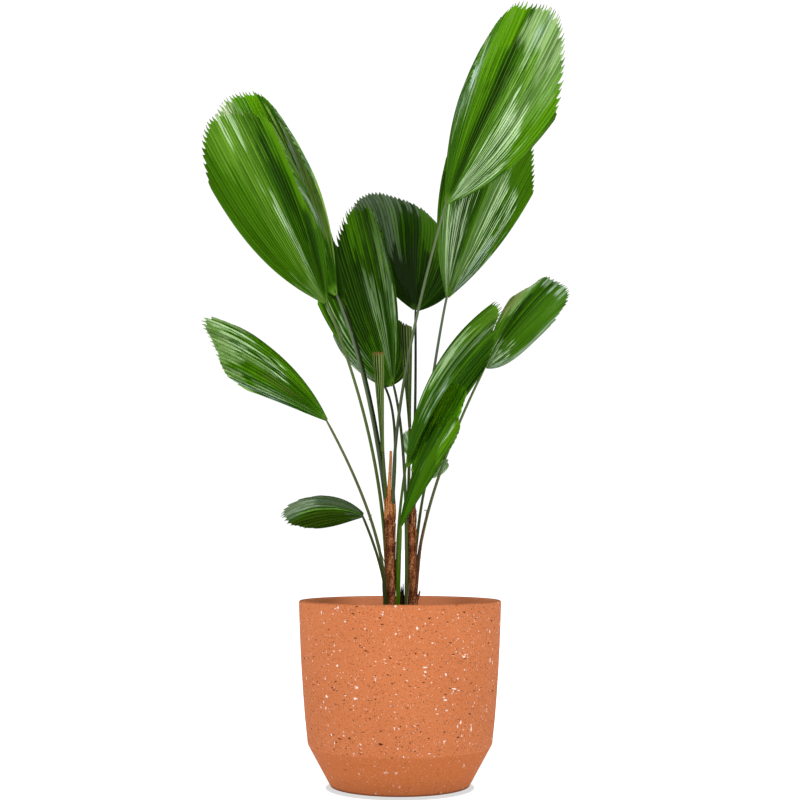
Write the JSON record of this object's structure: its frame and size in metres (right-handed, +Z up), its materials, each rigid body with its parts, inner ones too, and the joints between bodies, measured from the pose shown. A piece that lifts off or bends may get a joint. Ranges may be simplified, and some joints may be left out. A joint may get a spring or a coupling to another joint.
{
  "type": "potted ruffled fan palm",
  "caption": "Potted fan palm: round pleated fans with a toothed edge on long thin stalks, short fibrous stems, in a round terracotta pot.",
  "frame": {"origin": "centre of the pot's flat underside, on the pot's axis", "axes": "+Z up along the pot's axis, -Y towards the camera of the picture, +X to the picture's right"},
  "size_m": [0.6636, 0.6077, 1.324],
  "materials": {
    "clay": "matte",
    "soil": "matte",
    "stem_bark": "matte",
    "sheath": "matte",
    "petiole": "satin",
    "fan_leaf": "satin",
    "spear_leaf": "satin"
  },
  "bodies": {
    "root": {"pot": "clay", "soil": "soil", "stem_left": "stem_bark", "stem_right": "stem_bark", "sheath_spike": "sheath", "petiole_a": "petiole", "fan_a": "fan_leaf", "petiole_b": "petiole", "fan_b": "fan_leaf", "petiole_c": "petiole", "fan_c": "fan_leaf", "petiole_d": "petiole", "fan_d": "fan_leaf", "petiole_e": "petiole", "fan_e": "fan_leaf", "petiole_f": "petiole", "fan_f": "fan_leaf", "petiole_g": "petiole", "fan_g": "fan_leaf", "petiole_h": "petiole", "fan_h": "fan_leaf", "petiole_i": "petiole", "fan_i": "fan_leaf", "petiole_j": "petiole", "fan_j": "fan_leaf", "petiole_k": "petiole", "fan_k": "fan_leaf", "petiole_l": "petiole", "fan_l": "fan_leaf", "petiole_m": "petiole", "fan_m": "fan_leaf", "petiole_n": "petiole", "fan_n": "fan_leaf", "petiole_p": "petiole", "fan_p": "fan_leaf", "petiole_q": "petiole", "spear_q": "spear_leaf", "petiole_r": "petiole", "spear_r": "spear_leaf"}
  },
  "joints": []
}
